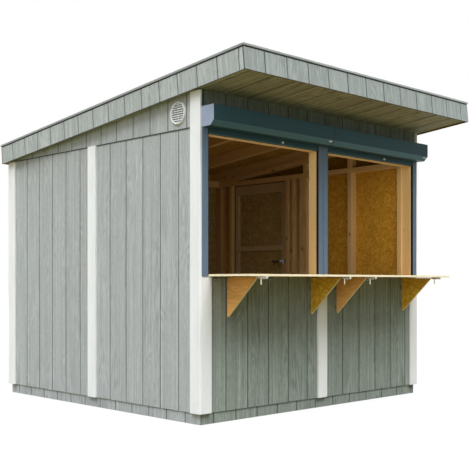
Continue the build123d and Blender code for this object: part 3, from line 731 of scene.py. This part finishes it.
brush_black = plastic("brush_black", paint(16, 16, 18), 0.8)
bristle_pitch = 0.0045
bristle_reach = 0.004
brush_inset = 0.001
chance = Random(7)
brush_shape = Shape()
for x_start, toward in rails:
    x_open = x_start + toward * rail_width
    for step in range(int((box_base - counter_top) / bristle_pitch)):
        low = counter_top + step * bristle_pitch
        for row in (0, 1):
            y_low = front - rail_depth + brush_inset + row * (rail_depth / 2 - brush_inset)
            y_high = y_low + rail_depth / 2 - brush_inset * 2
            tip = x_open + toward * bristle_reach * chance.uniform(0.65, 1.0)
            x_low, x_high = sorted((x_open - toward * brush_inset, tip))
            high = low + bristle_pitch * chance.uniform(0.7, 0.95)
            brush_shape.slab((x_low, y_low, low), (x_high, y_high, high))
brush_shape.piece("rail_brushes", brush_black, "rail")

# Bottom bar of each shutter curtain, with its stop
slat_drop = slat_high.z - slat_low.z
slat_flute_shares = (0.3, 0.62)
hatch_spans = ((left + rail_width, -mid_gap - rail_width), (mid_gap + rail_width, right - rail_width))
bar_front = slat_low.y
bar_back = slat_high.y
bar_mid = (bar_front + bar_back) / 2
lip = 0.004
bar_outline = [(bar_back, slat_high.z), (bar_front, slat_high.z)]
for share in slat_flute_shares:
    level = slat_high.z - slat_drop * share
    bar_outline += [(bar_front, level + flute), (bar_front + flute, level), (bar_front, level - flute)]
bar_outline += [(bar_front, slat_low.z + lip), (bar_mid - flute, slat_low.z), (bar_mid + flute, slat_low.z),
                (bar_back, slat_low.z + lip)]
bar_shape = Shape()
for x_low, x_high in hatch_spans:
    bar_shape.prism(bar_outline, x_high - x_low - fit_gap * 2,
                    Matrix.Translation((x_low + fit_gap, 0, 0)) @ along_x)
bar_piece = bar_shape.piece("shutter_bottom_bars", shutter_coat, "shutter", bevel=0.0004)
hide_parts("shutter_end_slats")

stop_white = plastic("stop_white", paint(232, 232, 226))
stop_places = (-0.4367, 0.7555)
stop_profile = ((0.010, -0.001), (0.010, 0.001), (0.008, 0.004), (0.0075, 0.009), (0.005, 0.0115), (0, 0.012))
stop_shape = Shape()
for x in stop_places:
    stop_shape.turned(stop_profile, placed((x, bar_front, slat_low.z + slat_drop / 2), -Y_AXIS))
stop_shape.piece("shutter_stops", stop_white, "vent", smooth=True)

# Plug of the winding gear at the right end of each box, on its lower slope
plug_profile = ((0.012, -0.001), (0.012, 0.002), (0.0105, 0.004), (0.005, 0.005), (0.0, 0.005))
plug_stretch = Matrix.Diagonal((0.6, 1.5, 1, 1))
plug_inset = 0.036
plug_share = 0.3
box_chamfer = 0.036
slope_top = box_base + box_chamfer
slope_foot = box_front + box_chamfer
slope_out = Vector((0, -1, -1)).normalized()
plug_shape = Shape()
for x_end in (0, right):
    centre = (x_end - plug_inset, box_front + box_chamfer * plug_share, slope_top - box_chamfer * plug_share)
    plug_shape.turned(plug_profile, placed(centre, slope_out, X_AXIS) @ plug_stretch)
plug_shape.piece("winding_plugs", stop_white, "vent", smooth=True)

# Seal that closes the joint between the two boxes, over their fronts and lower slopes
joint_width = 0.004
joint_proud = 0.0005
joint_depth = 0.002
joint_outline = ((box_front - joint_proud, box_top), (box_front - joint_proud, slope_top - joint_proud),
                 (slope_foot - joint_proud, box_base - joint_proud), (slope_foot, box_base + joint_depth),
                 (box_front + joint_depth, slope_top), (box_front + joint_depth, box_top))
box_joint = Shape()
box_joint.prism(joint_outline, joint_width, Matrix.Translation((-joint_width / 2, 0, 0)) @ along_x)
box_joint.piece("box_joint_seal", brush_black, "membrane")

# Folded roof edge that covers the fascias' tops, in place of the plain bars, and a black strip under it that
# is painted shade, the shadow line below the edge
edge_height = 0.026
edge_proud = 0.006
edge_inner = 0.034
edge_gap = 0.008
edge_set = 0.005
bead_foot = 0.019
bead_low = 0.0205
bead_high = 0.0235
bead_out = edge_proud - 0.002
crown_out = edge_proud - 0.0045
crown_back = 0.006
upstand_back = 0.011
upstand_low = 0.011
upstand_high = 0.021
flange_rise = 0.003
edge_section = ((-edge_inner, 0), (-edge_set, 0), (-edge_set, edge_gap), (edge_proud, edge_gap),
                (edge_proud, bead_foot), (bead_out, bead_low), (bead_out, bead_high),
                (crown_out, edge_height), (-crown_back, edge_height), (-upstand_back, upstand_high),
                (-upstand_back, upstand_low), (-edge_inner, flange_rise))
# Painted shade: a black strip in the gap under the edge
rim_shade_gap = 0.0005
rim_shade_out = 0.002 - edge_set
rim_shade_section = ((-edge_set, rim_shade_gap), (rim_shade_out, rim_shade_gap),
                    (rim_shade_out, edge_gap - rim_shade_gap), (-edge_set, edge_gap - rim_shade_gap))


def roof_rim(section):
    """A section of (out, up) points drawn round the roof's edge with mitred corners."""
    points = []
    for x_sign, y_sign in corner_signs:
        end = roof_end if y_sign > 0 else -front_overhang
        points += [(x_sign * (roof_side + out), end + y_sign * out, roof_top + up) for out, up in section]
    count = len(section)
    faces = []
    for corner in range(4):
        start = corner * count
        following = (corner + 1) % 4 * count
        for i in range(count):
            j = (i + 1) % count
            faces.append((start + i, following + i, following + j, start + j))
    rim = Shape()
    rim.add(points, faces, roof_frame)
    return rim


edge_piece = roof_rim(edge_section).piece("roof_edge_profile", edge_metal, "edge_metal", bevel=0.0006)
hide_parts("roof_edge_trims")
roof_rim(rim_shade_section).piece("roof_edge_shade_strip", plastic("shade_black", paint(22, 23, 22), 0.8), "membrane")

# Seal in the joint between each side wall and its gable, with a lip that sheds water. Its dark grey is
# painted shade, the shadow line under the gable
lip_low = wall_top - 0.005
lip_proud = 0.003
lip_thickness = 0.0012
seal_gap = 0.0004
seal_low = wall_top + seal_gap
seal_high = gable_low.z - seal_gap
lip_back = lip_thickness - lip_proud
seal_section = ((panel_thickness, seal_low), (panel_thickness, seal_high), (-lip_proud, seal_high),
                (-lip_proud, lip_low), (lip_back, lip_low), (lip_back, seal_low))
joint_shape = Shape()
for face, inward in ((left, 1), (right, -1)):
    joint_shape.prism(handed(seal_section, face, inward), gable_high.y - (front + board_cover),
                      Matrix.Translation((0, gable_high.y, 0)) @ upright)
joint_shape.piece("joint_seals", plastic("joint_shade_grey", paint(60, 66, 60), 0.7), "membrane")

# Laps of the roof felt across the slope
lap_pitch = 0.86
lap_width = 0.09
lap_top = roof_top + 0.002
lap_edge = roof_side - edge_inner
lap_first_share = 0.7
lap_shape = Shape()
for number in range(int((roof_end + front_overhang) / lap_pitch)):
    high = (number + lap_first_share) * lap_pitch - front_overhang
    low = high + lap_width
    lap_shape.add([(-lap_edge, high, roof_top), (lap_edge, high, roof_top), (lap_edge, high, lap_top),
                   (-lap_edge, high, lap_top), (-lap_edge, low, roof_top), (lap_edge, low, roof_top)],
                  [(0, 1, 2, 3), (3, 2, 5, 4), (0, 3, 4), (1, 5, 2), (0, 4, 5, 1)], roof_frame)
lap_shape.piece("felt_laps", mineral_felt, "membrane")

# Round louvred vents: a rim, blades, a bar down the middle and the screen behind them
vent_centre = (vent_low + vent_high) / 2
vent_radius = (vent_high.z - vent_low.z) / 2
vent_depth = vent_high.x - right
vent_sides = 48
rim_width = 0.0125
rim_foot = 0.001
rim_shares = ((0, 0), (0, 0.5), (0.2, 0.85), (0.48, 1), (0.8, 0.9), (1, 0.6))
rim_profile = [(vent_radius - rim_width * inward, vent_depth * rise) for inward, rise in rim_shares]
rim_profile.append((vent_radius - rim_width, rim_foot))
blade_count = 9
blade_reach = 0.0095
blade_drop = 0.0085
blade_thickness = 0.0022
blade_foot = 0.002
inner_radius = vent_radius - rim_width + rim_foot
screen_radius = inner_radius + 0.001
screen_low = 0.0005
screen_high = 0.0015
bar_half = 0.002
bar_top = rim_foot + 0.004
vent_shape = Shape()
screen_shape = Shape()
for face, out in ((left, -X_AXIS), (right, X_AXIS)):
    place = placed((face, vent_centre.y, vent_centre.z), out)
    vent_shape.turned(rim_profile, place, vent_sides, hollow=True)
    screen_shape.turned(((screen_radius, screen_low), (screen_radius, screen_high), (0, screen_high)), place,
                        vent_sides)
    for number in range(blade_count):
        level = ((number + 0.5) / blade_count * 2 - 1) * inner_radius
        half = sqrt(inner_radius ** 2 - level ** 2)
        high = level + blade_drop / 2
        low = level - blade_drop / 2
        section = ((high, blade_foot), (low, blade_foot + blade_reach),
                   (low - blade_thickness, blade_foot + blade_reach), (high - blade_thickness, blade_foot))
        vent_shape.prism(section, half * 2, place @ along_x @ Matrix.Translation((0, 0, -half)))
    vent_shape.slab((-bar_half, -inner_radius, rim_foot), (bar_half, inner_radius, bar_top), place)
vent_piece = vent_shape.piece("vent_grilles", vent_white, "vent")
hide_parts("gable_vents")
screen_shape.piece("vent_screens", plastic("vent_screen", paint(150, 154, 148), 0.7), "vent")

# Nails in the white boards
nail_profile = ((0.0042, -0.0004), (0.0042, 0.0004), (0.003, 0.0012), (0.0, 0.0015))
nail_sides = 8
nail_pitch = 0.38
nail_edge = 0.022
nail_shape = Shape()


def nail_rows(origin, across, out, width, height):
    """Two nails at each step up a board that starts at origin."""
    steps = int((height - nail_edge * 2) / nail_pitch) + 1
    for step in range(steps + 1):
        rise = nail_edge * 2 + (height - nail_edge * 4) * step / steps
        for place in (nail_edge, width - nail_edge):
            nail_shape.turned(nail_profile, placed(origin + across * place + Z_AXIS * rise, out), nail_sides)


for face, out in ((left - trim_thickness, -X_AXIS), (right + trim_thickness, X_AXIS)):
    for start in (front - trim_thickness, -trim_width / 2, back - board_cover):
        nail_rows(Vector((face, start, wall_base)), Y_AXIS, out, trim_width, wall_top - wall_base)
for face, out, top in ((front - trim_thickness, -Y_AXIS, sill_height),
                       (back + trim_thickness, Y_AXIS, wall_top)):
    for start in (left, -trim_width / 2, right - board_cover):
        nail_rows(Vector((start, face, wall_base)), X_AXIS, out, board_cover, top - wall_base)
nail_shape.piece("board_nails", white_sides, "white_trim", smooth=True)

# Screws in the ironwork: those that stay with the hut, and those that swing with the door
screw_profile = ((0.0042, -0.0003), (0.0042, 0.0005), (0.0028, 0.0013), (0.0014, 0.0014), (0.0010, 0.0007),
                 (0.0, 0.0007))
screw_sides = 12
fixed_screws = Shape()
door_screws = Shape()


def screw(shape, place, out, along=Z_AXIS):
    shape.turned(screw_profile, placed(place, out, along), screw_sides)


# Bolts under the flaps: keepers over the barrel, lever knob and screws
bracket_thickness = 0.012
bracket_wall_gap = 0.013
bracket_reach = 0.286
counter_inset = 0.067
left_bracket_inset = 0.16
right_bracket_inset = 0.12
flap_spans = ((left + counter_inset, -fit_gap), (fit_gap, right - counter_inset))
bracket_faces = []
for x_low, x_high in flap_spans:
    bracket_faces += [(x_low + left_bracket_inset, 1), (x_high - right_bracket_inset, -1)]
bolt_gap = 0.02
bolt_end = front - bracket_wall_gap - bracket_reach - bolt_gap
bolt_length = flap_front + fit_gap - bolt_end
bolt_plate = 0.002
barrel_radius = 0.007
keeper_wall = 0.0015
keeper_width = 0.009
keeper_half = 0.014
keeper_shares = (0.06, 0.5, 0.82)
keeper_screw_reach = 0.0115
keeper_screw_set = keeper_width * 1.35
lever_share = 0.25
lever_drop = 0.052
knob_radius = 0.0062
knob_rise = knob_radius * 0.4
arc_steps = 8
arc = [pi * i / arc_steps for i in range(arc_steps + 1)]
knob_profile = [(knob_radius * sin(turn), -knob_radius * cos(turn)) for turn in arc[1:-1]]
knob_profile = [(0, -knob_radius), *knob_profile, (0, knob_radius)]
keeper_outer = barrel_radius + keeper_wall
keeper_outline = [(-keeper_half, 0), (-keeper_half, -keeper_wall), (-keeper_outer, -keeper_wall)]
keeper_outline += [(-keeper_outer * cos(turn), -barrel_radius - keeper_outer * sin(turn)) for turn in arc]
keeper_outline += [(keeper_outer, -keeper_wall), (keeper_half, -keeper_wall), (keeper_half, 0)]
bolt_shape = Shape()
knob_shape = Shape()
for face, side in bracket_faces:
    middle = face + side * bracket_thickness / 2
    for share in keeper_shares:
        y = bolt_end + bolt_length * share
        level = sill_height - bolt_plate
        bolt_shape.prism(keeper_outline, keeper_width, Matrix.Translation((middle, y, level)) @ upright)
        for x in (middle - keeper_screw_reach, middle + keeper_screw_reach):
            screw(fixed_screws, (x, y - keeper_screw_set, level), -Z_AXIS, Y_AXIS)
    knob_place = (middle, bolt_end + bolt_length * lever_share, sill_height - lever_drop + knob_rise)
    knob_shape.turned(knob_profile, placed(knob_place, Z_AXIS, Y_AXIS))
bolt_shape.piece("bolt_keepers", zinc, "zinc", bevel=0.0003)
knob_shape.piece("bolt_knobs", zinc, "zinc", smooth=True)

# Screws of the flap hinges and of the door's ironwork
hinge_leaf = 0.002
flap_back = front - rail_depth - fit_gap
flap_hinge_shares = (0.065, 0.52, 0.93)
flap_hinge_length = 0.044
flap_hinge_leaf = 0.032
flap_screw_reach = flap_hinge_length * 0.3
flap_screw_set = flap_hinge_leaf * 0.7
for outer_end, inner_end in (flap_spans[0], reversed(flap_spans[1])):
    for share in flap_hinge_shares:
        middle = outer_end + (inner_end - outer_end) * share
        for x in (middle - flap_screw_reach, middle + flap_screw_reach):
            screw(fixed_screws, (x, front - hinge_leaf, sill_height - flap_screw_set), -Y_AXIS)
            screw(fixed_screws, (x, flap_back - flap_screw_set, sill_height - hinge_leaf), -Z_AXIS, Y_AXIS)
strap_thickness = 0.003
door_hinge_shares = (0.12, 0.5, 0.88)
strap_screw_shares = (0.2, 0.45, 0.7, 0.92)
jamb_screw_inset = 0.014
jamb_screw_rises = (-0.045, 0.0, 0.045)
for share in door_hinge_shares:
    height = door_low.z + (door_high.z - door_low.z) * share
    for reach in strap_screw_shares:
        y = strap_high.y - (strap_high.y - strap_low.y) * reach
        screw(door_screws, (right + strap_thickness, y, height), X_AXIS)
    for rise in jamb_screw_rises:
        screw(fixed_screws, (right + strap_thickness, jamb_high.y - jamb_screw_inset, height + rise), X_AXIS)
door_screws.piece("door_screws", door_zinc, "zinc", "door", smooth=True)
fixed_screws.piece("fixed_screws", zinc, "zinc", smooth=True)

# Stops that the closed door rests against, and the seal over and under it
stop_depth = 0.027
stop_lap = 0.007
door_gap = 0.008
stop_outer = door_low.x - fit_gap
stop_inner = stop_outer - stop_depth
door_stops = Shape()
for y_low, y_high in ((door_low.y - door_gap, door_low.y + stop_lap),
                      (door_high.y - stop_lap, door_high.y + door_gap)):
    door_stops.slab((stop_inner, y_low, door_low.z), (stop_outer, y_high, door_high.z))
for z_low, z_high in ((door_low.z - door_gap, door_low.z - fit_gap),
                      (door_high.z + fit_gap, door_high.z + door_gap)):
    door_stops.slab((stop_inner, door_low.y - door_gap, z_low), (stop_outer, door_high.y + door_gap, z_high))
door_stops.piece("door_stops", plastic("seal_brown", paint(70, 52, 36), 0.75), "pine", bevel=0.001)


# Studio

camera_data = bpy.data.cameras.new("camera")
camera = new_object("camera", camera_data)
camera.location = (-4.9262, -5.6878, 0.9530)
camera.rotation_euler = (radians(90), 0, radians(-45.67))
camera_data.sensor_width = 36
camera_data.lens = 66.52
camera_data.shift_x = -0.1057
camera_data.shift_y = 0.0999
bpy.context.scene.camera = camera


def seen_directly(tree):
    """1 where the camera, a mirror or glass looks at a surface, 0 where light only bounces off it."""
    path = new_node(tree, "LightPath")
    total = path.outputs["Is Camera Ray"]
    for name in ("Is Glossy Ray", "Is Transmission Ray"):
        node = new_node(tree, "Math", total, path.outputs[name])
        node.operation = "MAXIMUM"
        total = node.outputs[0]
    return total


def shader(tree, *values):
    return new_node(tree, *values).outputs[0]


# The floor is white to look at, with a faint shadow, and a dim warm ground to the light that bounces
floor_size = 60.0
shadow_share = 0.14
floor_mesh = bpy.data.meshes.new("floor")
floor_corners = [(x * floor_size, y * floor_size, 0) for x, y in corner_signs]
floor_mesh.from_pydata(floor_corners, [], [(0, 1, 2, 3)])
floor = new_object("floor", floor_mesh)
floor_material = bpy.data.materials.new("studio_floor")
floor_material.use_nodes = True
tree = floor_material.node_tree
tree.nodes.clear()
white = shader(tree, "Emission", (1, 1, 1, 1))
pale = shader(tree, "BsdfDiffuse", (0.8, 0.8, 0.8, 1))
ground = shader(tree, "BsdfDiffuse", (0.15, 0.138, 0.05, 1))
shown = shader(tree, "MixShader", shadow_share, white, pale)
choice = shader(tree, "MixShader", seen_directly(tree), ground, shown)
new_node(tree, "OutputMaterial", choice)
floor_mesh.materials.append(floor_material)

# The sky is white to look at, and a dim gradient to the light that bounces
sky_strength = 0.7
world = bpy.data.worlds.new("studio")
bpy.context.scene.world = world
world.use_nodes = True
tree = world.node_tree
tree.nodes.clear()
direction = new_node(tree, "TexCoord").outputs["Generated"]
height = new_node(tree, "SeparateXYZ", direction).outputs["Z"]
gradient = ramp(tree, height, (0.0, (0.10, 0.10, 0.09, 1)), (1.0, (0.62, 0.68, 0.78, 1)))
fill = shader(tree, "Background", gradient, sky_strength)
backdrop = shader(tree, "Background", (1, 1, 1, 1), 1.0)
choice = shader(tree, "MixShader", seen_directly(tree), fill, backdrop)
new_node(tree, "OutputWorld", choice)

# Wide lamps far away. Their bearing is counted from the left wall's side towards the front
for name, bearing, elevation, strength, spread, blue in (
        ("high_left", 15, 58, 2.85, 40, 1.05), ("low_left", 34, 8, 0.95, 40, 1.05),
        ("front", 97, 57, 2.75, 34, 1.03), ("back_right", 225, 36, 2.4, 40, 1.03)):
    data = bpy.data.lights.new(name, "SUN")
    data.energy = strength
    data.angle = radians(spread)
    data.color = (0.97, 0.99, blue)
    lamp = new_object(name, data)
    level = cos(radians(elevation))
    toward = Vector((-level * cos(radians(bearing)), -level * sin(radians(bearing)), sin(radians(elevation))))
    lamp.rotation_mode = "QUATERNION"
    lamp.rotation_quaternion = toward.to_track_quat("Z", "Y")

# A lamp as large as each hatch looks into the hut, so that its inside isn't black
hatch_strength = 1.8
for number, (x_low, x_high) in enumerate(hatch_spans):
    data = bpy.data.lights.new(f"hatch_fill_{number}", "AREA")
    data.shape = "RECTANGLE"
    data.size = x_high - x_low
    data.size_y = lintel - counter_top
    data.energy = hatch_strength
    data.color = (0.92, 1.0, 1.12)
    lamp = new_object(f"hatch_fill_{number}", data)
    lamp.location = ((x_low + x_high) / 2, front, (lintel + counter_top) / 2)
    lamp.rotation_euler = (radians(90), 0, 0)
    lamp.visible_camera = False
    lamp.visible_glossy = False

bpy.context.scene.view_settings.view_transform = "Standard"
